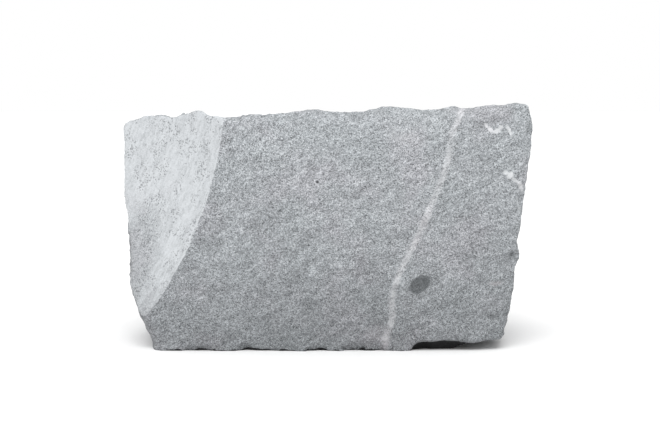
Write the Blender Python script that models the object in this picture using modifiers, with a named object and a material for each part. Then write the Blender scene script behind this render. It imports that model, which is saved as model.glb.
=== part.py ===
"""A rough-split granite block: one solid lump of grey stone that stands on a flat base.

The frame is in metres with +Z up. The broad split face looks along -Y, and the origin lies on the
ground under the middle of the stone. The stone is lofted through upright cross-sections that follow
one another along Y. Broad hollows and small flake scars are cut from it and its skin is roughened.
The pale fracture, the undercut and the flat base are cut last, so that their rims stay sharp.
"""

import math
import random
from collections import namedtuple

import bmesh
import bpy
from mathutils import Euler, Matrix, Vector

NAME = "granite_block"

# Driving dimensions. They are measured from the middle of the split face, and the whole stone is
# then moved by TO_MIDDLE, which brings the middle of its base to the origin.
TO_MIDDLE = (0.0111, -0.0038, 0.0)
FRONT_Y = -0.198  # rim of the split face
BACK_Y = 0.206
SUNK = 0.014  # the rough stone reaches this far below the ground before its base is cut flat
FACE_CENTRE = Vector((0.0, FRONT_Y, 0.25))
FACE_DOME = ((0.965, 0.0065), (0.90, 0.0105), (0.72, 0.0145), (0.40, 0.0165))  # (scale, rise)
BACK_DOME = ((0.93, 0.008), (0.70, 0.016))

# The split face's outline, clockwise from the lower left, as the eight corners of a cross-section
# and the points between each corner and the next.
CORNERS = ("toe", "heel", "left_top", "crown", "right_top", "belly", "foot", "right_toe")
FACE_POINTS = {
    "toe": ((-0.354, 0.014), (-0.388, 0.084)),
    "heel": (
        (-0.399, 0.175), (-0.402, 0.235), (-0.410, 0.285), (-0.410, 0.362), (-0.412, 0.411),
    ),
    "left_top": (
        (-0.410, 0.460), (-0.397, 0.464), (-0.387, 0.465), (-0.370, 0.475), (-0.334, 0.478),
        (-0.315, 0.475), (-0.299, 0.486), (-0.256, 0.492), (-0.245, 0.481),
    ),
    "crown": (
        (-0.190, 0.481), (-0.151, 0.482), (-0.087, 0.488), (-0.031, 0.492), (0.019, 0.485),
        (0.066, 0.485), (0.117, 0.496), (0.145, 0.495), (0.203, 0.486), (0.250, 0.498),
        (0.279, 0.494), (0.331, 0.499), (0.340, 0.499), (0.373, 0.505),
    ),
    "right_top": (
        (0.406, 0.495), (0.412, 0.449), (0.403, 0.376), (0.394, 0.288), (0.381, 0.212),
    ),
    "belly": ((0.389, 0.185), (0.377, 0.158), (0.375, 0.121), (0.371, 0.083)),
    "foot": ((0.351, 0.012),),
    "right_toe": (),
}

# Each cross-section: its place behind the split face's rim, its corners, and how much of the split
# face's jagged outline it keeps on the sides that start at the first two top corners and elsewhere.
Section = namedtuple("Section", "behind corners keep_left keep")
SECTIONS = (
    Section(0.0, (
        (-0.355, -SUNK), (-0.404, 0.129), (-0.419, 0.456), (-0.213, 0.474),
        (0.399, 0.504), (0.389, 0.191), (0.357, 0.041), (0.346, -SUNK)), 1.0, 1.0),
    Section(0.045, (
        (-0.360, -SUNK), (-0.412, 0.128), (-0.427, 0.460), (-0.211, 0.469),
        (0.401, 0.491), (0.389, 0.196), (0.366, 0.041), (0.352, -SUNK)), 1.0, 0.6),
    Section(0.140, (
        (-0.368, -SUNK), (-0.422, 0.124), (-0.436, 0.462), (-0.205, 0.458),
        (0.398, 0.480), (0.393, 0.228), (0.376, 0.060), (0.362, -SUNK)), 0.9, 0.2),
    Section(0.280, (
        (-0.354, -SUNK), (-0.402, 0.111), (-0.422, 0.431), (-0.150, 0.446),
        (0.386, 0.462), (0.394, 0.251), (0.382, 0.076), (0.366, -SUNK)), -0.6, -0.4),
    Section(BACK_Y - FRONT_Y, (
        (-0.325, -SUNK), (-0.366, 0.096), (-0.376, 0.401), (-0.120, 0.438),
        (0.350, 0.432), (0.374, 0.246), (0.362, 0.055), (0.346, -SUNK)), -0.8, -0.8),
)

# The pale fracture at the left of the split face is part of a hollow sphere. It meets the split
# face along an arc with this radius and centre, at this angle.
SCAR_RADIUS = 0.85
SCAR_CENTRE = (-1.053, 0.571)
SCAR_ANGLE = math.radians(43)

# Broad flat fractures: a point of each plane and its outward normal.
SPLITS = (
    ((-0.340, 0.150, 0.256), (-0.72, 0.68, -0.12)),
    ((0.335, 0.165, 0.416), (0.52, 0.50, 0.69)),
    ((0.0, 0.205, 0.336), (0.06, 0.97, 0.22)),
    ((-0.250, 0.150, 0.458), (-0.30, 0.30, 0.90)),
    ((0.372, 0.140, 0.126), (0.86, 0.46, -0.20)),
)

# Broad shallow hollows that older fractures left on the sides that face away: the middle of each,
# its outward direction, its radii across and up the face, its depth and its turn about outward.
Hollow = namedtuple("Hollow", "centre outward radii depth turn")
HOLLOWS = (
    Hollow((0.130, 0.215, 0.346), (0.0, 1.0, 0.20), (0.250, 0.120), 0.016, 0.45),
    Hollow((-0.150, 0.215, 0.156), (-0.05, 1.0, 0.0), (0.220, 0.150), 0.014, -0.30),
    Hollow((0.260, 0.212, 0.086), (0.1, 1.0, -0.2), (0.170, 0.120), 0.018, 0.20),
    Hollow((0.400, 0.090, 0.386), (1.0, 0.1, 0.2), (0.170, 0.130), 0.015, 0.60),
    Hollow((0.385, -0.020, 0.116), (1.0, 0.0, -0.2), (0.150, 0.100), 0.010, -0.50),
    Hollow((-0.428, 0.070, 0.296), (-1.0, 0.15, 0.0), (0.160, 0.120), 0.013, 0.40),
    Hollow((-0.395, 0.050, 0.086), (-1.0, 0.1, -0.2), (0.140, 0.090), 0.011, -0.20),
    Hollow((0.120, 0.090, 0.474), (0.0, 0.20, 1.0), (0.230, 0.120), 0.011, 0.25),
    Hollow((-0.190, 0.130, 0.456), (0.0, 0.25, 1.0), (0.200, 0.090), 0.012, -0.35),
    Hollow((0.310, 0.120, 0.466), (0.15, 0.25, 1.0), (0.140, 0.100), 0.013, 0.70),
)
HOLLOW_BULGE = 0.060  # how far a hollow's ellipsoid stands out

# The hollow under the right of the split face: ellipsoids as (centre, radii).
UNDERCUTS = (
    ((0.194, -0.208, 0.0), (0.027, 0.032, 0.020)),
    ((0.240, -0.210, -0.004), (0.078, 0.033, 0.0252)),
    ((0.360, -0.190, -0.016), (0.120, 0.170, 0.0350)),
)

# Flake scars along the edges: for each run the two ends of the edge, the outward direction, how
# many there are, how wide each is and how deep it bites.
Flakes = namedtuple("Flakes", "start end outward count radius depth")
FLAKES = (
    Flakes((-0.20, -0.195, 0.474), (0.38, -0.195, 0.498), (0.0, -0.8, 0.6), 14, 0.034, 0.0040),
    Flakes((0.405, -0.197, 0.466), (0.358, -0.197, 0.050), (0.7, -0.7, 0.0), 7, 0.026, 0.0025),
    Flakes((-0.34, -0.198, 0.000), (0.13, -0.198, 0.000), (0.0, -0.8, -0.6), 8, 0.024, 0.0018),
    Flakes((0.400, -0.16, 0.495), (0.375, 0.12, 0.461), (0.6, 0.0, 0.8), 7, 0.050, 0.009),
    Flakes((-0.435, -0.01, 0.453), (-0.415, 0.10, 0.426), (-0.7, 0.0, 0.7), 4, 0.050, 0.008),
    Flakes((-0.29, 0.185, 0.424), (0.30, 0.195, 0.436), (0.0, 0.7, 0.7), 10, 0.058, 0.010),
    Flakes((0.372, 0.200, 0.346), (0.350, 0.205, 0.020), (0.7, 0.7, 0.0), 6, 0.058, 0.010),
    Flakes((-0.30, 0.200, 0.346), (-0.29, 0.205, 0.020), (-0.3, 0.9, 0.0), 5, 0.055, 0.009),
    Flakes((-0.40, 0.09, 0.376), (-0.38, 0.10, 0.050), (-0.9, 0.3, 0.0), 5, 0.055, 0.009),
    Flakes((-0.29, 0.205, 0.000), (0.33, 0.205, 0.000), (0.0, 0.7, -0.7), 10, 0.050, 0.008),
    Flakes((0.350, -0.10, 0.000), (0.350, 0.19, 0.000), (0.7, 0.0, -0.7), 6, 0.045, 0.008),
    Flakes((-0.36, -0.15, 0.000), (-0.35, 0.09, 0.000), (-0.7, 0.0, -0.7), 6, 0.045, 0.007),
)
FLAKE_BULGE = 0.5  # how far a flake's ellipsoid stands out, as a share of its width
FLAKE_SWING = math.radians(24)  # the most that a flake turns away from its run's direction

# Relief of the skin, from broad to fine: noise type, size of its features and height.
Relief = namedtuple("Relief", "name basis size octaves height stretch")
RELIEFS = (
    Relief("swell", "BLENDER_ORIGINAL", 0.150, 1, 0.011, 1.0),
    Relief("ledge", "VORONOI_F2_F1", 0.075, 1, 0.0035, 1.8),
    Relief("rough", "BLENDER_ORIGINAL", 0.032, 4, 0.0050, 1.0),
)
FOLIATION_TILT = math.radians(28)  # the grain climbs to the right by this much

VOXEL = 0.0065
TRIANGLES = 10500
SEED = 11

STONE_COLOUR = (0.40, 0.41, 0.43, 1.0)
STONE_ROUGHNESS = 0.85


def clear_scene():
    """Removes whatever the file opened with."""
    for obj in list(bpy.data.objects):
        bpy.data.objects.remove(obj)


def new_collection(name):
    """Returns a new collection in the scene."""
    collection = bpy.data.collections.new(name)
    bpy.context.scene.collection.children.link(collection)
    return collection


def object_from(mesh_builder, name, collection):
    """Returns a new object that holds the mesh in mesh_builder."""
    mesh = bpy.data.meshes.new(name)
    mesh_builder.to_mesh(mesh)
    mesh_builder.free()
    obj = bpy.data.objects.new(name, mesh)
    collection.objects.link(obj)
    return obj


def section_ring(section):
    """Returns the closed ring of points of one cross-section."""
    y = FRONT_Y + section.behind
    face_corners = [Vector(corner) for corner in SECTIONS[0].corners]
    corners = [Vector(corner) for corner in section.corners]
    ring = []
    for i, name in enumerate(CORNERS):
        after = (i + 1) % len(CORNERS)
        run = face_corners[after] - face_corners[i]
        keep = section.keep_left if name in ("heel", "left_top") else section.keep
        ring.append(corners[i])
        for point in FACE_POINTS[name]:
            offset = Vector(point) - face_corners[i]
            along = offset.dot(run) / run.length_squared
            jag = offset - run * along
            ring.append(corners[i].lerp(corners[after], along) + jag * keep)
    return [Vector((point.x, y, point.y)) for point in ring]


def domed(ring, dome, direction):
    """Returns copies of a ring that close in on its middle and rise along Y."""
    middle = Vector((FACE_CENTRE.x, ring[0].y, FACE_CENTRE.z))
    return [
        [middle + (point - middle) * scale + Vector((0, direction * rise, 0)) for point in ring]
        for scale, rise in dome
    ]


def rough_stone(collection):
    """Lofts the stone through its cross-sections and closes its two ends."""
    rings = [section_ring(section) for section in SECTIONS]
    rings = domed(rings[0], FACE_DOME, -1)[::-1] + rings + domed(rings[-1], BACK_DOME, 1)
    builder = bmesh.new()
    loops = [[builder.verts.new(point) for point in ring] for ring in rings]
    for near, far in zip(loops, loops[1:]):
        for i in range(len(near)):
            j = (i + 1) % len(near)
            builder.faces.new((near[i], near[j], far[j], far[i]))
    builder.faces.new(loops[0][::-1])
    builder.faces.new(loops[-1])
    bmesh.ops.recalc_face_normals(builder, faces=builder.faces)
    for point, normal in SPLITS:
        cut_off(builder, point, normal)
    return object_from(builder, NAME, collection)


def cut_off(builder, point, normal):
    """Cuts off what lies beyond a plane and closes the cut."""
    parts = builder.verts[:] + builder.edges[:] + builder.faces[:]
    cut = bmesh.ops.bisect_plane(
        builder, geom=parts, plane_co=point, plane_no=normal, clear_outer=True)["geom_cut"]
    rim = [part for part in cut if isinstance(part, bmesh.types.BMEdge)]
    bmesh.ops.edgeloop_fill(builder, edges=rim)


def add_ellipsoid(builder, centre, radii, turn=Matrix.Identity(3), subdivisions=1):
    """Adds an ellipsoid with these radii along its own turned axes."""
    matrix = Matrix.Translation(centre) @ turn.to_4x4() @ Matrix.Diagonal((*radii, 1.0))
    bmesh.ops.create_icosphere(builder, subdivisions=subdivisions, radius=1.0, matrix=matrix)


def cutter_from(builder, name, collection):
    """Returns a hidden cutter object."""
    cutter = object_from(builder, name, collection)
    cutter.hide_render = True
    cutter.display_type = "WIRE"
    return cutter


def scar_cutter(collection):
    """The great sphere whose side leaves the pale fracture."""
    radius = SCAR_RADIUS / math.sin(SCAR_ANGLE)
    stand_off = radius * math.cos(SCAR_ANGLE)
    x, z = SCAR_CENTRE
    face_y = FRONT_Y - FACE_DOME[1][1]
    builder = bmesh.new()
    add_ellipsoid(builder, (x, face_y - stand_off, z), (radius,) * 3, subdivisions=6)
    return cutter_from(builder, "scar_cutter", collection)


def undercut_cutters(collection):
    """The ellipsoids that hollow the stone under its lower right edge."""
    cutters = []
    for i, (centre, radii) in enumerate(UNDERCUTS):
        builder = bmesh.new()
        add_ellipsoid(builder, centre, radii, subdivisions=4)
        cutters.append(cutter_from(builder, f"undercut_cutter_{i}", collection))
    return cutters


def hollow_cutters(collection):
    """The flat ellipsoids that leave the broad hollows."""
    cutters = []
    for hollow in HOLLOWS:
        outward = Vector(hollow.outward).normalized()
        turn = outward.to_track_quat("Z", "Y").to_matrix() @ Matrix.Rotation(hollow.turn, 3, "Z")
        centre = Vector(hollow.centre) + outward * (HOLLOW_BULGE - hollow.depth)
        builder = bmesh.new()
        add_ellipsoid(builder, centre, (*hollow.radii, HOLLOW_BULGE), turn, subdivisions=4)
        cutters.append(cutter_from(builder, f"hollow_cutter_{len(cutters)}", collection))
    return cutters


def flake_cutters(collection):
    """Flat ellipsoids strung along the stone's edges, each of which leaves one flake scar."""
    dice = random.Random(SEED)
    cutters = []
    for run in FLAKES:
        start, end = Vector(run.start), Vector(run.end)
        for i in range(run.count):
            outward = Vector(run.outward).normalized()
            swing = [dice.uniform(-FLAKE_SWING, FLAKE_SWING) for _ in range(3)]
            outward.rotate(Euler(swing))
            spin = Matrix.Rotation(dice.uniform(0, math.pi), 3, "Z")
            width = run.radius * dice.uniform(0.5, 1.3)
            length = width * dice.uniform(1.0, 1.7)
            bulge = width * FLAKE_BULGE
            share = (i + dice.uniform(0.0, 1.0)) / run.count
            bite = run.depth * dice.uniform(0.4, 1.5)
            centre = start.lerp(end, share) + outward * (bulge - bite)
            turn = outward.to_track_quat("Z", "Y").to_matrix() @ spin
            builder = bmesh.new()
            add_ellipsoid(builder, centre, (length, width, bulge), turn)
            cutters.append(cutter_from(builder, f"flake_cutter_{len(cutters)}", collection))
    return cutters


def subtract(stone, cutter):
    """Adds a Boolean modifier that cuts cutter from stone."""
    modifier = stone.modifiers.new(cutter.name, "BOOLEAN")
    modifier.operation = "DIFFERENCE"
    modifier.object = cutter


def noise_texture(relief):
    """Returns the noise of one layer of relief."""
    texture = bpy.data.textures.new(relief.name, "CLOUDS")
    texture.noise_basis = relief.basis
    texture.noise_scale = relief.size
    texture.noise_depth = relief.octaves
    return texture


def foliation(relief, collection):
    """Returns the empty that turns and stretches one layer of relief along the stone's grain."""
    guide = bpy.data.objects.new(f"{relief.name}_guide", None)
    guide.rotation_euler = (0, -FOLIATION_TILT, 0)
    guide.scale = (relief.stretch, 1, 1)
    collection.objects.link(guide)
    return guide


def roughen(stone, collection):
    """Gives the skin its relief, from broad swells to fine roughness."""
    remesh = stone.modifiers.new("even skin", "REMESH")
    remesh.mode = "VOXEL"
    remesh.voxel_size = VOXEL
    for relief in RELIEFS:
        displace = stone.modifiers.new(relief.name, "DISPLACE")
        displace.texture = noise_texture(relief)
        displace.texture_coords = "OBJECT"
        displace.texture_coords_object = foliation(relief, collection)
        displace.strength = relief.height
        displace.mid_level = 0.5


def thin_out(stone):
    """Brings the even skin down to about TRIANGLES triangles, the most where it is roughest."""
    bpy.context.view_layer.update()
    graph = bpy.context.evaluated_depsgraph_get()
    faces = stone.evaluated_get(graph).to_mesh()
    faces.calc_loop_triangles()
    decimate = stone.modifiers.new("fewer faces", "DECIMATE")
    decimate.ratio = TRIANGLES / len(faces.loop_triangles)


def ground_cutter(collection):
    """A slab whose top lies at the ground."""
    builder = bmesh.new()
    bmesh.ops.create_cube(
        builder, size=1.0, matrix=Matrix.Translation((0, 0, -0.05)) @ Matrix.Diagonal((2, 2, 0.1, 1)))
    return cutter_from(builder, "ground_cutter", collection)


def move_to_middle(objects, collection):
    """Hangs everything on one empty that brings the middle of the stone's base to the origin."""
    middle = bpy.data.objects.new("middle", None)
    middle.location = TO_MIDDLE
    collection.objects.link(middle)
    for obj in objects:
        obj.parent = middle


def stone_material():
    """Grey granite in one plain colour."""
    material = bpy.data.materials.new("granite")
    material.use_nodes = True
    surface = material.node_tree.nodes["Principled BSDF"]
    surface.inputs["Base Color"].default_value = STONE_COLOUR
    surface.inputs["Roughness"].default_value = STONE_ROUGHNESS
    surface.inputs["Metallic"].default_value = 0.0
    return material


def main():
    """Builds the stone."""
    clear_scene()
    parts = new_collection("granite block")
    cutters = new_collection("cutters")
    stone = rough_stone(parts)
    for cutter in hollow_cutters(cutters) + flake_cutters(cutters):
        subtract(stone, cutter)
    roughen(stone, cutters)
    thin_out(stone)
    for cutter in undercut_cutters(cutters) + [scar_cutter(cutters), ground_cutter(cutters)]:
        subtract(stone, cutter)
    stone.data.materials.append(stone_material())
    move_to_middle([stone, *cutters.objects], cutters)


main()
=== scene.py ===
"""Dresses the granite block: a detailed skin over its plain solid, a granite finish, a studio.

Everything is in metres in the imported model's own frame: +Z up, the split face looking along -Y and
the origin on the ground under the middle of the stone.
"""

import logging
import math
import random
from collections.abc import Mapping, Sequence
from dataclasses import dataclass
from enum import Enum
from functools import reduce

import bpy
from mathutils import Euler, Matrix, Vector

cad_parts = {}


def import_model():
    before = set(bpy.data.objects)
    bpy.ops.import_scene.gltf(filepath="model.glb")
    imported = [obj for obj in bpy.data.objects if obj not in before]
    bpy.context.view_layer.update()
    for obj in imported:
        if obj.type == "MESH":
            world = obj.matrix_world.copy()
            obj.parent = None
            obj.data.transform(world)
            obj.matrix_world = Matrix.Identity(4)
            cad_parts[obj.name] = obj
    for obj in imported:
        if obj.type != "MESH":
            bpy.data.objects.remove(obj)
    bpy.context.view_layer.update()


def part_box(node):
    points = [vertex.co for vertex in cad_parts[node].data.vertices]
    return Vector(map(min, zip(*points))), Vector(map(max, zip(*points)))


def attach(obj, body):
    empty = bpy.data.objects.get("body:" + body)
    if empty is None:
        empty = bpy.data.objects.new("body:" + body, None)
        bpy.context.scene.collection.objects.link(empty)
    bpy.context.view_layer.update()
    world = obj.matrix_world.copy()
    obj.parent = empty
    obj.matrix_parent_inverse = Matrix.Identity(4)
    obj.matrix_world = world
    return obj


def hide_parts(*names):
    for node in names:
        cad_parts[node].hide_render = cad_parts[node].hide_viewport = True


LOG = logging.getLogger("granite_block")

NODE = "granite_block"
BODY = "root"

FACE_Y = -0.2123  # the split face's middling plane, between its rim and its domed middle

Colour = tuple[float, float, float]
Point = tuple[float, float, float]
Spread = tuple[float, float]
Socket = bpy.types.NodeSocket


class Noise(Enum):
    """The noises that raise the skin's relief."""

    CLOUD = "BLENDER_ORIGINAL"
    CRACKLE = "VORONOI_F2_F1"


class Zone(Enum):
    """The parts of the skin that a layer of relief runs over."""

    EVERYWHERE = ""
    ROUGH = "rough"
    SIDES = "sides"


class Side(Enum):
    """The six sides of the stone, each an axis and the direction along it."""

    RIGHT = (0, 1)
    LEFT = (0, -1)
    BACK = (1, 1)
    FRONT = (1, -1)
    TOP = (2, 1)
    BASE = (2, -1)


class Mineral(Enum):
    """The colours of what the stone is made of and what lies on it, and of the painted contact
    shadow, as red, green and blue.
    """

    DARK = (0.042, 0.044, 0.047)
    GREY = (0.249, 0.263, 0.275)
    PALE = (0.538, 0.560, 0.581)
    CRUSHED = (0.532, 0.552, 0.570)
    QUARTZ = (0.600, 0.600, 0.618)
    WHITE = (0.585, 0.597, 0.610)
    INCLUSION = (0.060, 0.066, 0.070)
    ROSE = (0.400, 0.380, 0.392)
    # Near-black painted shadow along the foot and in the hollow under the stone.
    SOIL = (0.009, 0.009, 0.010)


def deselect_all() -> None:
    """Leaves nothing selected, in object mode."""
    if bpy.context.object and bpy.context.object.mode != "OBJECT":
        bpy.ops.object.mode_set(mode="OBJECT")
    bpy.ops.object.select_all(action="DESELECT")


def select_only(obj: bpy.types.Object) -> None:
    """Makes obj the one selected and active object.

    Args:
        obj: The object to select.
    """
    deselect_all()
    obj.select_set(True)
    bpy.context.view_layer.objects.active = obj


def finish_with(obj: bpy.types.Object, kind: str, **settings: object) -> None:
    """Adds a modifier to obj and applies it.

    Args:
        obj: The object to change.
        kind: The modifier's type, such as "REMESH".
        **settings: The modifier's own settings.
    """
    select_only(obj)
    modifier = obj.modifiers.new(kind.lower(), kind)
    for name, value in settings.items():
        setattr(modifier, name, value)
    bpy.ops.object.modifier_apply(modifier=modifier.name)


def subtract(obj: bpy.types.Object, cutter: bpy.types.Object) -> None:
    """Cuts cutter out of obj and removes the cutter.

    Args:
        obj: The object that is cut.
        cutter: The closed mesh to cut away.
    """
    finish_with(obj, "BOOLEAN", operation="DIFFERENCE", object=cutter, solver="EXACT")
    bpy.data.objects.remove(cutter)


def eased(value: float, low: float, high: float) -> float:
    """Returns 0 where value is below low, 1 where it is above high, and eases in between."""
    share = min(max((value - low) / (high - low), 0.0), 1.0)
    return share * share * (3 - 2 * share)


@dataclass(frozen=True)
class PaleFracture:
    """The hollow fracture at the left of the split face: part of the inside of a great sphere.

    Attributes:
        arc_radius: The radius of the arc where the sphere meets the split face.
        arc_centre: The arc's centre, across and up.
        angle: The angle between the sphere and the split face along the arc.
        shaving: How much larger the sphere that cuts the skin is than the solid's own.
        facets: How often the cutting sphere's facets are divided.
    """

    arc_radius: float = 0.85
    arc_centre: tuple[float, float] = (-1.0419, 0.571)
    angle: float = math.radians(43)
    shaving: float = 0.0015
    facets: int = 7

    @property
    def radius(self) -> float:
        """The great sphere's radius."""
        return self.arc_radius / math.sin(self.angle)

    @property
    def centre(self) -> Vector:
        """The great sphere's centre."""
        x, z = self.arc_centre
        return Vector((x, FACE_Y - self.radius * math.cos(self.angle), z))

    def cutter(self) -> bpy.types.Object:
        """Models the great sphere, a little larger than the hollow.

        Returns:
            The closed sphere.
        """
        deselect_all()
        bpy.ops.mesh.primitive_ico_sphere_add(
            subdivisions=self.facets, radius=self.radius + self.shaving, location=self.centre
        )
        return bpy.context.object

    def is_near(self, point: Vector, reach: float) -> bool:
        """Says whether a point lies within reach of the fracture's surface."""
        return (point - self.centre).length < self.radius + reach


@dataclass(frozen=True)
class Chips:
    """Small flake scars strung along one edge of the stone.

    Attributes:
        start: One end of the edge.
        end: The edge's other end.
        outward: The direction from which the chips lie on the stone.
        count: How many chips there are.
        width: Half the width of a middling chip.
        depth: How deep a middling chip bites.
        reach: How far a chip runs across the edge, as a multiple of its own length.
        scatter: How far chips turn away from straight across the edge, either way.
    """

    start: Point
    end: Point
    outward: Point
    count: int
    width: float
    depth: float
    reach: float = 1.0
    scatter: float = math.pi / 2


@dataclass(frozen=True)
class ChippedEdges:
    """All the runs of chips, and how much the chips of a run differ.

    Attributes:
        runs: The runs of chips.
        seed: The start of the random draws.
        lean: How far a chip tips out of its run's direction, divided by the run's reach.
        widths: The least and greatest width, as multiples of a middling chip's.
        lengths: The least and greatest length, as multiples of the chip's own width.
        bites: The least and greatest depth, as multiples of a middling chip's.
        bulge: How thick a chip's cutter is, as a share of the chip's width.
        facets: How often the facets of a chip's cutter are divided.
        clear: How far off the stone a chip is dropped from.
        voxel: The voxel that the cutters are merged with.
    """

    runs: tuple[Chips, ...] = (
        Chips((-0.19, -0.203, 0.482), (0.405, -0.203, 0.504), (0, -0.7, 0.7), 26, 0.014, 0.0023),
        Chips(
            (-0.20, -0.194, 0.482), (0.400, -0.194, 0.504), (0, -0.2, 1), 26, 0.011, 0.0026, 2, 0.5
        ),
        Chips(
            (-0.20, -0.198, 0.482), (0.405, -0.198, 0.504), (0, -0.3, 1), 60, 0.005, 0.0036, 4, 0.4
        ),
        Chips((0.417, -0.202, 0.47), (0.365, -0.205, 0.04), (0.4, -0.9, 0), 25, 0.009, 0.0024),
        Chips((-0.32, -0.208, 0.0), (0.16, -0.210, 0.0), (0, -0.5, -0.8), 22, 0.012, 0.0038),
        Chips((0.412, -0.17, 0.499), (0.390, 0.11, 0.469), (0.7, 0, 0.7), 12, 0.022, 0.0030),
        Chips((-0.30, 0.18, 0.43), (0.30, 0.20, 0.44), (0, 0.7, 0.7), 20, 0.026, 0.0030),
        Chips((-0.42, -0.05, 0.455), (-0.38, 0.14, 0.42), (-0.7, 0, 0.7), 9, 0.020, 0.0030),
    )
    seed: int = 4
    lean: float = 0.36
    widths: Spread = (0.45, 1.4)
    lengths: Spread = (1.0, 1.8)
    bites: Spread = (0.3, 1.6)
    bulge: float = 0.5
    facets: int = 2
    clear: float = 0.06
    voxel: float = 0.0012

    def cutter(self, stone: bpy.types.Object) -> bpy.types.Object:
        """Models the cutters of all the chips as one closed mesh.

        Args:
            stone: The stone that the chips lie on.

        Returns:
            The cutter.
        """
        dice = random.Random(self.seed)
        deselect_all()
        made = []
        for run in self.runs:
            for i in range(run.count):
                share = (i + dice.uniform(0.0, 1.0)) / run.count
                made.append(self._chip(stone, run, share, dice))
        deselect_all()
        for chip in made:
            chip.select_set(True)
        bpy.context.view_layer.objects.active = made[0]
        bpy.ops.object.join()
        bpy.ops.object.transform_apply(location=True, rotation=True, scale=True)
        finish_with(made[0], "REMESH", mode="VOXEL", voxel_size=self.voxel)
        return made[0]

    def _chip(
        self, stone: bpy.types.Object, run: Chips, share: float, dice: random.Random
    ) -> bpy.types.Object:
        """Models one chip's cutter: a flat ellipsoid that bites into the stone.

        Args:
            stone: The stone that the chip lies on.
            run: The run that the chip belongs to.
            share: How far along the run it lies.
            dice: What its differences are drawn from.

        Returns:
            The cutter.
        """
        outward = Vector(run.outward).normalized()
        place = self._dropped(stone, Vector(run.start).lerp(Vector(run.end), share), outward)
        lean = self.lean / run.reach
        outward.rotate(Euler([dice.uniform(-lean, lean) for _ in range(3)]))
        width = run.width * dice.uniform(*self.widths)
        length = width * dice.uniform(*self.lengths) * run.reach
        bulge = width * self.bulge
        bite = run.depth * dice.uniform(*self.bites)
        angle = math.pi / 2 + dice.uniform(-run.scatter, run.scatter)
        turn = outward.to_track_quat("Z", "Y").to_matrix() @ Matrix.Rotation(angle, 3, "Z")
        bpy.ops.mesh.primitive_ico_sphere_add(
            subdivisions=self.facets,
            radius=1.0,
            location=place + outward * (bulge - bite),
            rotation=turn.to_euler(),
            scale=(length, width, bulge),
        )
        return bpy.context.object

    def _dropped(self, stone: bpy.types.Object, point: Vector, outward: Vector) -> Vector:
        """Drops a point on the stone.

        Args:
            stone: The stone.
            point: The point, on or near the stone.
            outward: The direction that it is dropped against.

        Returns:
            Where it comes to lie, or the point itself where it misses the stone.
        """
        found, place, _, _ = stone.ray_cast(point + outward * self.clear, -outward)
        return place if found else point


@dataclass(frozen=True)
class Relief:
    """One layer of the skin's relief.

    Attributes:
        name: What the layer is called.
        noise: The noise that raises it.
        size: How wide its features are.
        octaves: How many finer layers of noise it holds.
        height: Its full height; below zero it sinks hollows with sharp ridges between them.
        stretch: How much longer its features are along the grain of the stone.
        zone: The part of the skin that it runs over.
    """

    name: str
    noise: Noise
    size: float
    octaves: int
    height: float
    stretch: float = 1.0
    zone: Zone = Zone.ROUGH


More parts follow.
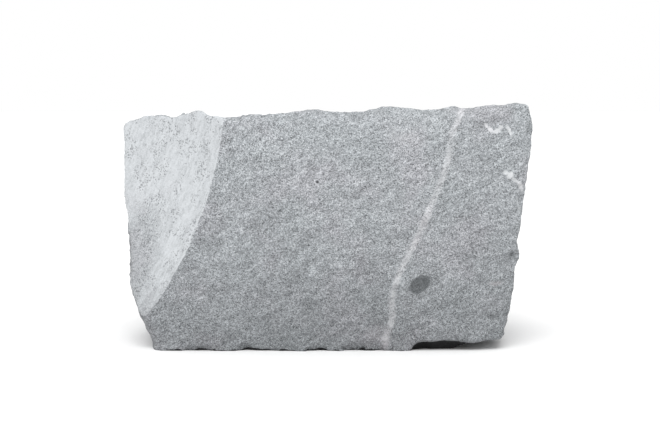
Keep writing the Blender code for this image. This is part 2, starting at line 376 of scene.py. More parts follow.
@dataclass(frozen=True)
class StoneSkin:
    """The stone's outer surface, raised from a copy of its plain solid.

    Attributes:
        fracture: The pale fracture, which is cut again to make its rim sharp.
        edges: The chips along the stone's edges.
        reliefs: The layers of relief, from broad to fine.
        coarse: The voxel that the plain solid's facets are evened out with.
        fine: The voxel of the finished skin.
        smoothing: How far one pass of smoothing moves a vertex.
        passes: How often the evened-out skin is smoothed.
        worn: How often the chipped skin is smoothed, which wears off thin slivers.
        spare: How far the stone reaches below the ground until its base is cut flat.
        merged: Vertices of the plain solid that are this close are one.
        base_height: Vertices below this height belong to the flat base.
        triangles: How many triangles the finished skin has at most.
        grain_tilt: How steeply the grain of the stone climbs to the right.
        hollow_level: The noise's level that stays in place where a layer sinks hollows.
        lump_level: The noise's level that stays in place where a layer raises lumps.
        behind_face: Where, along Y, the face's lighter relief gives way to the full one.
        at_base: Where, just below the ground, the relief fades in.
        fracture_edge: How far off the fracture's surface its own relief reaches.
        fracture_relief: The share of the relief in the fracture.
        face_relief: The share of the relief on the split face.
    """

    fracture: PaleFracture
    edges: ChippedEdges = ChippedEdges()
    reliefs: tuple[Relief, ...] = (
        Relief("scallops", Noise.CLOUD, 0.090, 1, -0.0170, 1.4, Zone.SIDES),
        Relief("flakes", Noise.CLOUD, 0.038, 2, -0.0085, 1.4, Zone.SIDES),
        Relief("shallow flakes", Noise.CLOUD, 0.034, 2, -0.0062, 2.4),
        Relief("ledges", Noise.CRACKLE, 0.045, 1, 0.0034, 2.6),
        Relief("lumps", Noise.CLOUD, 0.016, 2, 0.0028, 1.7),
        Relief("crumbs", Noise.CLOUD, 0.0080, 1, 0.0021),
        Relief("grit", Noise.CLOUD, 0.0060, 1, 0.0005, zone=Zone.EVERYWHERE),
    )
    coarse: float = 0.0042
    fine: float = 0.0027
    smoothing: float = 0.5
    passes: int = 4
    worn: int = 2
    spare: float = 0.012
    merged: float = 1e-5
    base_height: float = 1e-4
    triangles: int = 196_000
    grain_tilt: float = math.radians(28)
    hollow_level: float = 0.2
    lump_level: float = 0.5
    behind_face: Spread = (-0.172, -0.110)
    at_base: Spread = (-0.008, -0.002)
    fracture_edge: float = 0.0035
    fracture_relief: float = 0.25
    face_relief: float = 0.75

    def build(self) -> bpy.types.Object:
        """Makes the skin.

        Returns:
            The finished mesh, at the origin.
        """
        stone = self._copy_of_solid()
        self._lower_base(stone)
        finish_with(stone, "REMESH", mode="VOXEL", voxel_size=self.coarse)
        finish_with(stone, "SMOOTH", factor=self.smoothing, iterations=self.passes)
        subtract(stone, self.fracture.cutter())
        subtract(stone, self.edges.cutter(stone))
        finish_with(stone, "REMESH", mode="VOXEL", voxel_size=self.fine)
        finish_with(stone, "SMOOTH", factor=self.smoothing, iterations=self.worn)
        self._mark_zones(stone)
        for relief in self.reliefs:
            self._raise(stone, relief)
        self._cut_base(stone)
        self._thin_out(stone)
        BakeSheet().lay_out(stone)
        stone.data.shade_smooth()
        return stone

    def _copy_of_solid(self) -> bpy.types.Object:
        """Copies the plain solid and merges its loose triangles.

        Returns:
            The copy.
        """
        deselect_all()
        solid = bpy.data.objects[NODE]
        stone = bpy.data.objects.new("granite_skin", solid.data.copy())
        bpy.context.scene.collection.objects.link(stone)
        select_only(stone)
        bpy.ops.object.mode_set(mode="EDIT")
        bpy.ops.mesh.select_all(action="SELECT")
        bpy.ops.mesh.remove_doubles(threshold=self.merged)
        bpy.ops.object.mode_set(mode="OBJECT")
        return stone

    def _lower_base(self, stone: bpy.types.Object) -> None:
        """Pulls the flat base down by the spare depth, so that it can be cut flat again.

        Args:
            stone: The stone, still with the plain solid's flat base.
        """
        select_only(stone)
        for vertex in stone.data.vertices:
            vertex.select = vertex.co.z < self.base_height
        for part in (*stone.data.edges, *stone.data.polygons):
            part.select = all(stone.data.vertices[i].select for i in part.vertices)
        bpy.ops.object.mode_set(mode="EDIT")
        bpy.ops.transform.translate(value=(0, 0, -self.spare))
        bpy.ops.object.mode_set(mode="OBJECT")

    def _mark_zones(self, stone: bpy.types.Object) -> None:
        """Weights the skin for relief: little in the fracture, less on the face, none below.

        Args:
            stone: The stone.
        """
        rough = stone.vertex_groups.new(name=Zone.ROUGH.value)
        sides = stone.vertex_groups.new(name=Zone.SIDES.value)
        for vertex in stone.data.vertices:
            behind = eased(vertex.co.y, *self.behind_face)
            weight = self.face_relief + (1 - self.face_relief) * behind
            if self.fracture.is_near(vertex.co, self.fracture_edge):
                weight = self.fracture_relief
                behind = 0.0
            above_base = eased(vertex.co.z, *self.at_base)
            rough.add((vertex.index,), weight * above_base, "REPLACE")
            sides.add((vertex.index,), behind * above_base, "REPLACE")

    def _raise(self, stone: bpy.types.Object, relief: Relief) -> None:
        """Raises one layer of relief on the stone.

        Args:
            stone: The stone.
            relief: The layer.
        """
        sinks = relief.height < 0
        texture = bpy.data.textures.new(relief.name, "CLOUDS")
        texture.noise_basis = relief.noise.value
        texture.noise_scale = relief.size
        texture.noise_depth = relief.octaves
        texture.noise_type = "HARD_NOISE" if sinks else "SOFT_NOISE"
        guide = bpy.data.objects.new(f"{relief.name}_guide", None)
        guide.rotation_euler = (0, -self.grain_tilt, 0)
        guide.scale = (relief.stretch, 1, 1)
        bpy.context.scene.collection.objects.link(guide)
        bpy.context.view_layer.update()
        finish_with(
            stone,
            "DISPLACE",
            texture=texture,
            texture_coords="OBJECT",
            texture_coords_object=guide,
            strength=relief.height,
            mid_level=self.hollow_level if sinks else self.lump_level,
            vertex_group=relief.zone.value,
        )
        bpy.data.objects.remove(guide)

    def _cut_base(self, stone: bpy.types.Object) -> None:
        """Cuts the stone flat at the ground and closes the cut.

        Args:
            stone: The stone.
        """
        select_only(stone)
        bpy.ops.object.mode_set(mode="EDIT")
        bpy.ops.mesh.select_all(action="SELECT")
        bpy.ops.mesh.bisect(
            plane_co=(0, 0, 0), plane_no=(0, 0, 1), use_fill=True, clear_inner=True
        )
        bpy.ops.mesh.select_all(action="SELECT")
        bpy.ops.mesh.normals_make_consistent(inside=False)
        bpy.ops.object.mode_set(mode="OBJECT")

    def _thin_out(self, stone: bpy.types.Object) -> None:
        """Brings the skin down to its number of triangles, the most where it is roughest.

        Args:
            stone: The stone.
        """
        stone.data.calc_loop_triangles()
        share = self.triangles / len(stone.data.loop_triangles)
        if share < 1:
            finish_with(stone, "DECIMATE", ratio=share)


@dataclass(frozen=True)
class Patch:
    """One side's place on the bake sheet.

    Attributes:
        across: The axis that runs to the right on the sheet.
        up: The axis that runs up the sheet.
        corner: The patch's lower left corner, in metres on the sheet.
        scale: How large the patch is drawn, as a share of its real size.
    """

    across: int
    up: int
    corner: tuple[float, float]
    scale: float = 1.0


@dataclass(frozen=True)
class BakeSheet:
    """The stone's six sides laid out flat on a square, for baking its finish.

    Attributes:
        gap: The space between the sides.
        base_scale: How large the base is drawn, as a share of its real size.
    """

    gap: float = 0.02
    base_scale: float = 0.45

    def lay_out(self, stone: bpy.types.Object) -> None:
        """Gives the stone its map.

        Args:
            stone: The stone's mesh object, at the origin.
        """
        low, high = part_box(NODE)
        middle, half = (low + high) / 2, (high - low) / 2
        patches, span = self._patches(2 * half)
        layer = stone.data.uv_layers.new(name="OFBake")
        for face in stone.data.polygons:
            offset = face.center - middle
            shares = [offset[axis] / half[axis] for axis in range(3)]
            axis = max(range(3), key=lambda i: abs(shares[i]))
            patch = patches[Side((axis, 1 if shares[axis] > 0 else -1))]
            for loop in face.loop_indices:
                point = stone.data.vertices[stone.data.loops[loop].vertex_index].co - low
                layer.data[loop].uv = (
                    (patch.corner[0] + point[patch.across] * patch.scale) / span,
                    (patch.corner[1] + point[patch.up] * patch.scale) / span,
                )

    def _patches(self, size: Vector) -> tuple[dict[Side, Patch], float]:
        """Places the six sides.

        Args:
            size: The stone's length, depth and height.

        Returns:
            Each side's patch, and the width of the square in metres.
        """
        length, depth, height = size
        gap = self.gap
        second_row = gap + length + gap
        patches = {
            Side.FRONT: Patch(2, 0, (gap, gap)),
            Side.BACK: Patch(2, 0, (2 * gap + height, gap)),
            Side.TOP: Patch(1, 0, (3 * gap + 2 * height, gap)),
            Side.LEFT: Patch(1, 2, (gap, second_row)),
            Side.RIGHT: Patch(1, 2, (2 * gap + depth, second_row)),
            Side.BASE: Patch(0, 1, (3 * gap + 2 * depth, second_row), self.base_scale),
        }
        wide = 4 * gap + 2 * height + depth
        tall = second_row + height + gap
        return patches, max(wide, tall)


@dataclass(frozen=True)
class Fade:
    """A change that eases from one number to another.

    Attributes:
        low: Where it begins.
        high: Where it ends.
        first: The number below low.
        last: The number above high.
    """

    low: float
    high: float
    first: float
    last: float


@dataclass(frozen=True)
class Tone:
    """A soft noise, eased onto a range of numbers.

    Attributes:
        size: How wide its features are.
        fade: How the noise, from 0 to 1, is eased.
        detail: How many finer layers of noise it holds.
        rough: How strong the finer layers are.
    """

    size: float
    fade: Fade
    detail: float = 2.0
    rough: float = 0.5


class Graph:
    """A material's nodes, added one by one."""

    def __init__(self, name: str) -> None:
        """Starts a material with a Principled surface.

        Args:
            name: The material's name.
        """
        self.material = bpy.data.materials.new(name)
        self.material.use_nodes = True
        self.nodes = self.material.node_tree.nodes
        self.surface = self.nodes["Principled BSDF"]
        self.place = self.add("ShaderNodeTexCoord").outputs["Object"]
        self.x, self.y, self.z = self.add("ShaderNodeSeparateXYZ", {0: self.place}).outputs

    def add(
        self, kind: str, inputs: Mapping[str | int, object] | None = None, **settings: object
    ) -> bpy.types.Node:
        """Adds a node.

        Args:
            kind: The node's type.
            inputs: What its inputs get, by their names or numbers.
            **settings: The node's own settings.

        Returns:
            The new node.
        """
        node = self.nodes.new(kind)
        for name, value in settings.items():
            setattr(node, name, value)
        for key, value in (inputs or {}).items():
            self.feed(node.inputs[key], value)
        return node

    def feed(self, socket: Socket, value: object) -> None:
        """Gives an input a value or a link.

        Args:
            socket: The input.
            value: A number, a vector, a colour or another node's output.
        """
        if isinstance(value, bpy.types.NodeSocket):
            self.material.node_tree.links.new(value, socket)
        elif socket.type == "RGBA":
            socket.default_value = (*value, 1.0)
        else:
            socket.default_value = value

    def math(self, operation: str, *values: object, clamp: bool = False) -> Socket:
        """Returns the result of a Math node."""
        inputs = dict(enumerate(values))
        return self.add("ShaderNodeMath", inputs, operation=operation, use_clamp=clamp).outputs[0]

    def vector(self, operation: str, *values: object) -> Socket:
        """Returns the vector that a Vector Math node works out."""
        node = self.add("ShaderNodeVectorMath", dict(enumerate(values)), operation=operation)
        return node.outputs["Vector"]

    def distance(self, place: Socket, centre: Point = (0, 0, 0)) -> Socket:
        """Returns how far a place lies from a centre."""
        node = self.add("ShaderNodeVectorMath", {0: place, 1: centre}, operation="DISTANCE")
        return node.outputs["Value"]

    def product(self, *values: object) -> Socket:
        """Returns the product of two or more values."""
        return reduce(lambda result, value: self.math("MULTIPLY", result, value), values)

    def fade(self, value: Socket, fade: Fade) -> Socket:
        """Eases a value from one number to another.

        Args:
            value: The value.
            fade: Where the change begins and ends, and its two numbers.

        Returns:
            The eased number.
        """
        inputs = {
            "Value": value,
            "From Min": fade.low,
            "From Max": fade.high,
            "To Min": fade.first,
            "To Max": fade.last,
        }
        node = self.add("ShaderNodeMapRange", inputs, interpolation_type="SMOOTHSTEP")
        return node.outputs["Result"]

    def mix(self, share: object, below: object, above: object, blend: str = "MIX") -> Socket:
        """Returns the colour above laid over the colour below by this share."""
        inputs = {"Factor": share, 6: below, 7: above}
        return self.add("ShaderNodeMix", inputs, data_type="RGBA", blend_type=blend).outputs[2]

    def steps(self, value: Socket, stops: Sequence[tuple[float, Colour]]) -> Socket:
        """Turns a value into a colour.

        Args:
            value: The value, from 0 to 1.
            stops: The colours, each after the value that gives it.

        Returns:
            The colour.
        """
        node = self.add("ShaderNodeValToRGB", {"Fac": value})
        elements = node.color_ramp.elements
        elements[0].position, elements[0].color = stops[0][0], (*stops[0][1], 1.0)
        elements[1].position, elements[1].color = stops[-1][0], (*stops[-1][1], 1.0)
        for position, colour in stops[1:-1]:
            elements.new(position).color = (*colour, 1.0)
        return node.outputs["Color"]

    def noise(
        self, place: Socket, size: float, detail: float = 2.0, rough: float = 0.5
    ) -> bpy.types.Node:
        """Returns the node of a soft noise whose features are about this size."""
        inputs = {"Vector": place, "Scale": 1 / size, "Detail": detail, "Roughness": rough}
        return self.add("ShaderNodeTexNoise", inputs)

    def level(self, size: float, detail: float = 2.0) -> Socket:
        """Returns a soft noise of this size as a number around 0."""
        return self.math("SUBTRACT", self.noise(self.place, size, detail).outputs["Fac"], 0.5)

    def tone(self, tone: Tone, place: Socket | None = None) -> Socket:
        """Returns a tone's numbers, read in the stone's own places unless others are given."""
        noise = self.noise(place or self.place, tone.size, tone.detail, tone.rough)
        return self.fade(noise.outputs["Fac"], tone.fade)

    def cells(self, size: float) -> bpy.types.Node:
        """Returns the node of Voronoi cells of this size."""
        return self.add("ShaderNodeTexVoronoi", {"Vector": self.place, "Scale": 1 / size})

    def draw(self, size: float) -> Socket:
        """Returns a number that is random for each Voronoi cell of this size."""
        colour = self.cells(size).outputs["Color"]
        return self.add("ShaderNodeSeparateColor", {0: colour}).outputs[0]

    def turned(self, place: Socket, centre: Point, tilt: float, radii: Point) -> Socket:
        """Returns places along axes from centre that are tilted in the face, in these radii."""
        inputs = {"Vector": place, "Location": centre, "Rotation": (0, -tilt, 0), "Scale": radii}
        return self.add("ShaderNodeMapping", inputs, vector_type="TEXTURE").outputs["Vector"]

    def stretched(self, tilt: float, stretch: Point) -> Socket:
        """Returns places that stretch what is read there along axes tilted in the face."""
        return self.turned(self.place, (0, 0, 0), tilt, stretch)


@dataclass(frozen=True)
class Grains:
    """The mineral grains: cells of two sizes, each of them dark, grey or pale."""

    size: float = 0.0020
    fine_size: float = 0.0012
    fine_share: float = 0.5
    grit_size: float = 0.0022
    grit_rough: float = 0.6
    doming: float = 0.6
    bump: float = 0.6
    bump_height: float = 0.0010

    def colour(self, graph: Graph) -> Socket:
        """Colours the grains.

        Args:
            graph: The finish.

        Returns:
            The colour.
        """
        dark, grey, pale = Mineral.DARK.value, Mineral.GREY.value, Mineral.PALE.value
        stops = ((0.0, dark), (0.10, dark), (0.20, grey), (0.62, grey), (0.80, pale), (1.0, pale))
        layers = [graph.steps(graph.draw(size), stops) for size in (self.size, self.fine_size)]
        return graph.mix(self.fine_share, *layers)

    def raise_on(self, graph: Graph) -> None:
        """Gives the grains their own small relief.

        Args:
            graph: The finish.
        """
        domes = graph.product(graph.cells(self.size).outputs["Distance"], -self.doming)
        grit = graph.noise(graph.place, self.grit_size, rough=self.grit_rough).outputs["Fac"]
        height = graph.math("ADD", domes, grit)
        inputs = {"Strength": self.bump, "Distance": self.bump_height, "Height": height}
        bump = graph.add("ShaderNodeBump", inputs)
        graph.feed(graph.surface.inputs["Normal"], bump.outputs["Normal"])


@dataclass(frozen=True)
class Vein:
    """The pale vein, a gently curved sheet through the whole stone."""

    path: tuple[tuple[float, float], ...] = (
        (0.000, 0.1234), (0.037, 0.1294), (0.067, 0.1384), (0.107, 0.1374), (0.157, 0.1524),
        (0.207, 0.1764), (0.252, 0.1984), (0.327, 0.2284), (0.372, 0.2454), (0.417, 0.2544),
        (0.447, 0.2604), (0.472, 0.2724), (0.504, 0.2884),
    )
    lean: float = 0.10  # to the left, per metre behind the split face
    bend: float = 0.25  # the broad bends, per metre behind the split face
    bend_size: float = 0.110
    waver: float = 0.007  # the small bends
    waver_size: float = 0.009
    core: Fade = Fade(0.0006, 0.0036, 0.48, 0.0)  # by the distance from the vein's middle
    halo: Fade = Fade(0.0030, 0.0105, 0.60, 0.0)
    halo_patches: Tone = Tone(0.014, Fade(0.34, 0.62, 0.55, 1.0))
    gap: float = 0.417  # the height where the vein almost breaks off
    gap_fade: Fade = Fade(0.0, 0.035, 0.4, 1.0)
    grain_size: float = 0.0020
    grain_fade: Fade = Fade(0.10, 0.60, 0.50, 1.1)
    fresh: Fade = Fade(0.03, 0.20, 1.30, 1.0)  # stronger near the foot

    def over(self, graph: Graph, colour: Socket) -> Socket:
        """Lays the vein over a colour.

        Args:
            graph: The finish.
            colour: The colour.

        Returns:
            The colour with the vein.
        """
        away = self._distance(graph)
        halo = graph.product(graph.fade(away, self.halo), graph.tone(self.halo_patches))
        core = graph.fade(away, self.core)
        from_gap = graph.math("ABSOLUTE", graph.math("SUBTRACT", graph.z, self.gap))
        share = graph.product(
            graph.math("MAXIMUM", halo, core),
            graph.fade(from_gap, self.gap_fade),
            graph.fade(graph.draw(self.grain_size), self.grain_fade),
        )
        share = graph.math("MULTIPLY", share, graph.fade(graph.z, self.fresh), clamp=True)
        return graph.mix(share, colour, Mineral.QUARTZ.value)

    def _distance(self, graph: Graph) -> Socket:
        """Works out how far each place lies beside the vein.

        Args:
            graph: The finish.

        Returns:
            The distance.
        """
        behind = graph.math("SUBTRACT", graph.y, FACE_Y)
        lean = graph.math(
            "ADD",
            graph.product(behind, -self.lean),
            graph.product(behind, graph.level(self.bend_size, 1.0), self.bend),
        )
        waver = graph.product(graph.level(self.waver_size), self.waver)
        line = graph.math("ADD", graph.math("ADD", self._line(graph), lean), waver)
        return graph.math("ABSOLUTE", graph.math("SUBTRACT", graph.x, line))

    def _line(self, graph: Graph) -> Socket:
        """Draws the vein's line on the split face as a curve.

        Args:
            graph: The finish.

        Returns:
            The line's place across at each height.
        """
        span = self.path[-1][0]
        curve = graph.add("ShaderNodeFloatCurve", {"Value": graph.product(graph.z, 1 / span)})
        points = curve.mapping.curves[0].points
        for point, (height, across) in zip(points, (self.path[0], self.path[-1])):
            point.location = (height / span, across / span)
        for height, across in self.path[1:-1]:
            points.new(height / span, across / span)
        curve.mapping.update()
        return graph.product(curve.outputs[0], span)


@dataclass(frozen=True)
class Spot:
    """A patch of another colour that shows on the split face.

    Attributes:
        centre: Its middle, across and up.
        length: Half its length.
        width: Half its width.
        tilt: How steeply it climbs to the right, in degrees.
        mineral: What it is made of.
        share: How much of it covers the stone.
        ragged: How uneven its rim is, as a share of the wobble.
        soft: How far its rim fades, as a share of its size.
        depth: How far it reaches into the stone.
    """

    centre: tuple[float, float]
    length: float
    width: float
    tilt: float
    mineral: Mineral
    share: float
    ragged: float
    soft: float
    depth: float = 0.022

    def over(self, graph: Graph, colour: Socket, wobbled: Socket) -> Socket:
        """Lays the patch over a colour.

        Args:
            graph: The finish.
            colour: The colour.
            wobbled: Places shifted by a fine noise, for the patch's uneven rim.

        Returns:
            The colour with the patch.
        """
        across, up = self.centre
        place = graph.mix(self.ragged, graph.place, wobbled)
        radii = (self.length, self.depth, self.width)
        place = graph.turned(place, (across, FACE_Y, up), math.radians(self.tilt), radii)
        rim = Fade(1.0 - self.soft, 1.0 + self.soft, self.share, 0.0)
        return graph.mix(graph.fade(graph.distance(place), rim), colour, self.mineral.value)


@dataclass(frozen=True)
class Spots:
    """All the patches on the split face, and the fine noise that makes their rims uneven."""

    wobble: float = 0.010  # how far the fine noise shifts a rim
    wobble_size: float = 1 / 150
    wobble_detail: float = 3.0
    spots: tuple[Spot, ...] = (
        # White marks near the right edge.
        Spot((0.3241, 0.4540), 0.0062, 0.0030, -55, Mineral.WHITE, 0.85, 0.8, 0.35),
        Spot((0.3331, 0.4455), 0.0070, 0.0042, -40, Mineral.WHITE, 0.85, 0.9, 0.35),
        Spot((0.3451, 0.4430), 0.0080, 0.0044, 20, Mineral.WHITE, 0.85, 0.9, 0.35),
        Spot((0.3531, 0.4500), 0.0055, 0.0036, 60, Mineral.WHITE, 0.75, 0.9, 0.35),
        Spot((0.3711, 0.4440), 0.0115, 0.0034, -68, Mineral.WHITE, 0.80, 0.9, 0.35),
        Spot((0.3655, 0.3600), 0.0070, 0.0034, -20, Mineral.WHITE, 0.85, 0.8, 0.30),
        Spot((0.3735, 0.3550), 0.0075, 0.0057, 50, Mineral.WHITE, 0.95, 0.7, 0.28),
        Spot((0.3854, 0.3440), 0.0100, 0.0030, -35, Mineral.WHITE, 0.70, 0.9, 0.35),
        Spot((0.3965, 0.3310), 0.0105, 0.0048, -66, Mineral.WHITE, 0.75, 0.8, 0.35),
        Spot((0.3944, 0.2870), 0.0100, 0.0034, -55, Mineral.WHITE, 0.30, 0.8, 0.35),
        # Two faint broad stains.
        Spot((0.3700, 0.3820), 0.1100, 0.1500, 0, Mineral.DARK, 0.07, 0.9, 0.9),
        Spot((0.1614, 0.4310), 0.0320, 0.0120, -6, Mineral.WHITE, 0.20, 0.9, 0.9),
        # The dark inclusion.
        Spot((0.1944, 0.1365), 0.0243, 0.0158, 37, Mineral.INCLUSION, 0.70, 0.16, 0.16),
        # Painted shade near the foot, a faint painted highlight along the top rim, and small patches
        # beside the vein's foot.
        Spot((0.0200, 0.0500), 0.1900, 0.0650, 0, Mineral.DARK, 0.100, 0.9, 0.9),
        Spot((0.2500, 0.4880), 0.1500, 0.0240, 3, Mineral.WHITE, 0.07, 0.9, 0.9),
        Spot((0.0841, 0.0545), 0.0450, 0.0022, -2, Mineral.DARK, 0.22, 0.9, 0.6),
        Spot((0.1101, 0.0346), 0.0220, 0.0130, 20, Mineral.ROSE, 0.22, 0.9, 0.9),
        Spot((0.1241, 0.0272), 0.0075, 0.0050, 0, Mineral.WHITE, 0.50, 0.9, 0.6),
        Spot((0.1361, 0.0573), 0.0050, 0.0080, 0, Mineral.WHITE, 0.40, 0.9, 0.6),
        Spot((0.1415, 0.1175), 0.0050, 0.0090, 0, Mineral.WHITE, 0.35, 0.9, 0.6),
        # A dark crystal.
        Spot((-0.0109, 0.3418), 0.0030, 0.0027, 0, Mineral.DARK, 0.95, 0.2, 0.35),
        # Dark and rosy stains at the right.
        Spot((0.3200, 0.1430), 0.0120, 0.0080, 20, Mineral.DARK, 0.30, 0.9, 0.8),
        Spot((0.3480, 0.1370), 0.0130, 0.0045, 4, Mineral.ROSE, 0.55, 0.9, 0.7),
        Spot((0.3400, 0.0700), 0.0070, 0.0050, 0, Mineral.DARK, 0.42, 0.9, 0.7),
        # Dark stains by the fracture's rim.
        Spot((-0.2066, 0.4220), 0.0060, 0.0050, 0, Mineral.DARK, 0.40, 0.9, 0.6),
        Spot((-0.2159, 0.4525), 0.0065, 0.0055, 0, Mineral.DARK, 0.85, 0.9, 0.6),
    )

    def over(self, graph: Graph, colour: Socket) -> Socket:
        """Lays the patches over a colour, one by one.

        Args:
            graph: The finish.
            colour: The colour.

        Returns:
            The colour with the patches.
        """
        noise = graph.noise(graph.place, self.wobble_size, self.wobble_detail).outputs["Color"]
        centred = graph.vector("SUBTRACT", noise, (0.5, 0.5, 0.5))
        shift = graph.vector("MULTIPLY", centred, (self.wobble, self.wobble, self.wobble))
        wobbled = graph.vector("ADD", graph.place, shift)
        for spot in self.spots:
            colour = spot.over(graph, colour, wobbled)
        return colour


@dataclass(frozen=True)
class Mottling:
    """Streaks of shade along the grain of the stone, broad faint tints, and painted shade that
    darkens the stone towards its foot.
    """

    tilt: float = math.radians(32)
    stretch: Point = (2.8, 1.0, 1.0)
    streaks: tuple[Tone, ...] = (
        Tone(0.0050, Fade(0.25, 0.75, 0.90, 1.10), 2.0, 0.6),
        Tone(0.0095, Fade(0.30, 0.70, 0.86, 1.11), 3.0, 0.6),
        Tone(0.0300, Fade(0.25, 0.75, 0.95, 1.05), 2.0, 0.6),
    )
    patches: Tone = Tone(0.110, Fade(0.25, 0.75, 0.98, 1.02))
    # Painted shade: the colour darkens from about 0.42 m down to the foot, along an uneven line.
    painted_foot_shade_rise: Tone = Tone(0.070, Fade(0.20, 0.80, -0.04, 0.04), 3.0)
    painted_foot_shade: Fade = Fade(-0.04, 0.42, 0.66, 1.0)
    tint_size: float = 0.085
    tints: tuple[tuple[float, Colour], ...] = (
        (0.35, (0.990, 1.0, 1.0)), (0.52, (1.0, 1.0, 1.003)), (0.68, (1.026, 1.0, 1.012)),
    )

    def over(self, graph: Graph, colour: Socket) -> Socket:
        """Shades and tints a colour.

        Args:
            graph: The finish.
            colour: The colour.

        Returns:
            The mottled colour.
        """
        along = graph.stretched(self.tilt, self.stretch)
        shades = [graph.tone(streak, along) for streak in self.streaks]
        patches = graph.tone(self.patches)
        # Painted shade, darker towards the foot.
        height = graph.math("ADD", graph.z, graph.tone(self.painted_foot_shade_rise))
        shade = graph.product(*shades, patches, graph.fade(height, self.painted_foot_shade))
        shaded = graph.mix(1.0, colour, shade, "MULTIPLY")
        noise = graph.noise(graph.place, self.tint_size).outputs["Fac"]
        return graph.mix(1.0, shaded, graph.steps(noise, self.tints), "MULTIPLY")


@dataclass(frozen=True)
class CrushedSkin:
    """The pale crushed skin of the fracture, with dark flecks."""

    fracture: PaleFracture
    skin: Fade = Fade(0.0026, 0.0040, 1.0, 0.0)  # by the distance from the fracture's sphere
    fray: Tone = Tone(0.006, Fade(0.2, 0.8, -0.0008, 0.0008))
    thicker: Fade = Fade(0.460, 0.472, 0.0, 0.0090)  # towards the top rim
    arc: Fade = Fade(1.0010, 1.0035, 1.0, 0.0)  # by the share of the arc's radius
    wander: Tone = Tone(0.018, Fade(0.25, 0.75, -0.002, 0.002), 3.0)
    tilt: float = math.radians(64)
    stretch: Point = (3.4, 1.0, 1.0)
    streaks: Tone = Tone(0.0065, Fade(0.28, 0.66, 0.58, 0.92), 3.0, 0.6)
    clouds: Tone = Tone(0.030, Fade(0.32, 0.58, 0.80, 1.0), 3.0, 0.6)
    worn_centre: Point = (-0.380, -0.100, 0.200)
    worn_tilt: float = math.radians(78)
    worn_radii: Point = (0.11, 0.30, 0.05)
    worn: Fade = Fade(0.30, 1.25, 0.34, 1.0)
    foot: Fade = Fade(0.04, 0.20, 0.36, 1.0)  # thinner near the foot
    fleck_size: float = 0.0024
    fleck: Fade = Fade(0.14, 0.24, 1.0, 0.0)
    swarms: Tone = Tone(0.032, Fade(0.46, 0.60, 0.15, 1.0))
    fleck_share: float = 0.55

    def over(self, graph: Graph, colour: Socket) -> Socket:
        """Lays the crushed skin over a colour.

        Args:
            graph: The finish.
            colour: The colour.

        Returns:
            The colour with the crushed skin.
        """
        inside = graph.product(self._inside_sphere(graph), self._inside_arc(graph))
        along = graph.stretched(self.tilt, self.stretch)
        worn = graph.turned(graph.place, self.worn_centre, self.worn_tilt, self.worn_radii)
        cover = graph.product(
            inside,
            graph.tone(self.streaks, along),
            graph.tone(self.clouds, along),
            graph.fade(graph.distance(worn), self.worn),
            graph.fade(graph.z, self.foot),
        )
        crushed = graph.mix(cover, colour, Mineral.CRUSHED.value)
        fleck = graph.fade(graph.draw(self.fleck_size), self.fleck)
        flecks = graph.product(inside, fleck, graph.tone(self.swarms), self.fleck_share)
        return graph.mix(flecks, crushed, Mineral.DARK.value)

    def _inside_sphere(self, graph: Graph) -> Socket:
        """Says how much each place belongs to the fracture's surface.

        Args:
            graph: The finish.

        Returns:
            1 on the fracture, 0 away from it.
        """
        away = graph.distance(graph.place, tuple(self.fracture.centre))
        depth = graph.math("SUBTRACT", away, self.fracture.radius)
        frayed = graph.math("ADD", depth, graph.tone(self.fray))
        depth = graph.math("SUBTRACT", frayed, graph.fade(graph.z, self.thicker))
        return graph.fade(depth, self.skin)

    def _inside_arc(self, graph: Graph) -> Socket:
        """Says how much each place lies inside the fracture's arc on the split face.

        Args:
            graph: The finish.

        Returns:
            1 inside, 0 outside, with a ragged line in between.
        """
        across, up = self.fracture.arc_centre
        radius = self.fracture.arc_radius
        endless = 1000.0
        flat = graph.turned(graph.place, (across, 0.0, up), 0.0, (radius, endless, radius))
        away = graph.math("ADD", graph.distance(flat), graph.tone(self.wander))
        return graph.fade(away, self.arc)


@dataclass(frozen=True)
class PaintedContactShadow:
    """Painted contact shadow: near-black colour along the foot and in the hollow under the stone,
    where shade falls.
    """

    squash: Point = (1.0, 1.0, 4.0)
    # Painted shadow along the foot: how high it reaches, and how dark it is.
    reach: Tone = Tone(0.030, Fade(0.40, 0.64, -0.0004, 0.0052))
    foot: Fade = Fade(-0.0008, 0.0006, 0.95, 0.0)
    # Painted shade in the hollow under the stone, between these bounds.
    front: Fade = Fade(-0.203, -0.196, 0.0, 1.0)
    back: Fade = Fade(-0.050, 0.0, 1.0, 0.0)
    left: Fade = Fade(0.150, 0.160, 0.0, 1.0)
    right: Fade = Fade(0.284, 0.310, 1.0, 0.0)
    roof: Fade = Fade(0.021, 0.028, 0.97, 0.0)

    def over(self, graph: Graph, colour: Socket) -> Socket:
        """Paints the contact shadow over a colour.

        Args:
            graph: The finish.
            colour: The colour.

        Returns:
            The colour with the painted shadow.
        """
        reach = graph.tone(self.reach, graph.stretched(0.0, self.squash))
        # Painted shadow in a thin uneven line along the foot.
        foot = graph.fade(graph.math("SUBTRACT", graph.z, reach), self.foot)
        # Painted shade in the hollow under the lower right of the split face.
        hollow = graph.product(
            graph.fade(graph.y, self.front),
            graph.fade(graph.y, self.back),
            graph.fade(graph.x, self.left),
            graph.fade(graph.x, self.right),
            graph.fade(graph.z, self.roof),
        )
        return graph.mix(graph.math("MAXIMUM", foot, hollow), colour, Mineral.SOIL.value)


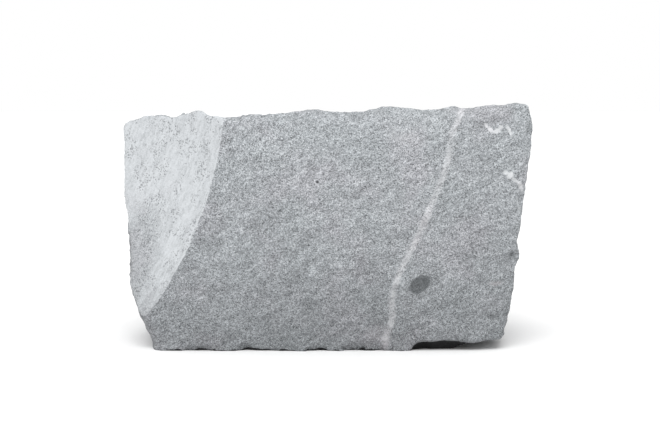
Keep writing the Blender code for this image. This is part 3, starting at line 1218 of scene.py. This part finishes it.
@dataclass(frozen=True)
class Granite:
    """Fine-grained grey granite with a pale crushed fracture, a vein and a dark inclusion."""

    fracture: PaleFracture
    shine: float = 0.35
    dullness: Tone = Tone(0.004, Fade(0.3, 0.7, 0.76, 0.94))

    def material(self) -> bpy.types.Material:
        """Builds the finish.

        Returns:
            The material.
        """
        graph = Graph("granite")
        grains = Grains()
        colour = grains.colour(graph)
        for layer in (Vein(), Spots(), Mottling(), CrushedSkin(self.fracture), PaintedContactShadow()):
            colour = layer.over(graph, colour)
        graph.feed(graph.surface.inputs["Base Color"], colour)
        graph.feed(graph.surface.inputs["Roughness"], graph.tone(self.dullness))
        graph.surface.inputs["Specular IOR Level"].default_value = self.shine
        grains.raise_on(graph)
        return graph.material


@dataclass(frozen=True)
class Studio:
    """A white floor that runs into a white room, one soft high light and the camera."""

    floor_size: float = 60.0
    floor_squares: int = 8
    floor_colour: Colour = (0.83, 0.83, 0.83)
    floor_rough: float = 0.9
    floor_shine: float = 0.1
    sky: float = 1.0
    sun_way: Point = (0.06, 0.58, -0.81)  # the way that its light falls
    sun_power: float = 1.9
    sun_spread: float = math.radians(36)
    aim: Point = (0.0141, -0.2118, 0.2655)  # what the camera looks at
    distance: float = 3.0
    elevation: float = math.radians(5)
    width_seen: float = 1.32  # how wide the picture is where the camera looks
    sensor: float = 36.0  # in millimetres

    def build(self) -> None:
        """Builds the floor, the lights and the camera."""
        self._floor()
        self._sky()
        self._sun()
        self._camera()
        bpy.context.scene.view_settings.view_transform = "Standard"

    def _floor(self) -> None:
        """Lays the pale floor."""
        deselect_all()
        squares = self.floor_squares
        bpy.ops.mesh.primitive_grid_add(
            x_subdivisions=squares, y_subdivisions=squares, size=self.floor_size, location=(0, 0, 0)
        )
        floor = bpy.context.object
        floor.name = "floor"
        material = bpy.data.materials.new("pale floor")
        material.use_nodes = True
        surface = material.node_tree.nodes["Principled BSDF"]
        surface.inputs["Base Color"].default_value = (*self.floor_colour, 1.0)
        surface.inputs["Roughness"].default_value = self.floor_rough
        surface.inputs["Specular IOR Level"].default_value = self.floor_shine
        floor.data.materials.append(material)

    def _sky(self) -> None:
        """Fills the room with even white light."""
        world = bpy.data.worlds.new("studio")
        world.use_nodes = True
        background = world.node_tree.nodes["Background"]
        background.inputs["Color"].default_value = (1.0, 1.0, 1.0, 1.0)
        background.inputs["Strength"].default_value = self.sky
        bpy.context.scene.world = world

    def _sun(self) -> None:
        """Adds the broad soft light from high in front of the split face."""
        light = bpy.data.lights.new("key", "SUN")
        light.energy = self.sun_power
        light.angle = self.sun_spread
        obj = bpy.data.objects.new("key", light)
        obj.rotation_euler = Vector(self.sun_way).to_track_quat("-Z", "Y").to_euler()
        bpy.context.scene.collection.objects.link(obj)

    def _camera(self) -> None:
        """Stands the camera in front of the split face, a little above its middle."""
        camera = bpy.data.cameras.new("camera")
        camera.sensor_width = self.sensor
        camera.lens = self.sensor * self.distance / self.width_seen
        obj = bpy.data.objects.new("camera", camera)
        back = Vector((0, -math.cos(self.elevation), math.sin(self.elevation)))
        obj.location = Vector(self.aim) + back * self.distance
        obj.rotation_euler = (-back).to_track_quat("-Z", "Y").to_euler()
        bpy.context.scene.collection.objects.link(obj)
        bpy.context.scene.camera = obj


def main() -> None:
    """Builds the skin, its finish and the studio."""
    logging.basicConfig(level=logging.INFO, format="%(name)s: %(message)s")
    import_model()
    fracture = PaleFracture()

    skin = StoneSkin(fracture).build()
    skin.data.materials.clear()
    skin.data.materials.append(Granite(fracture).material())
    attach(skin, BODY)
    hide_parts(NODE)
    LOG.info("%s has %d faces", skin.name, len(skin.data.polygons))

    Studio().build()
    LOG.info("studio is lit")


if __name__ == "__main__":
    main()
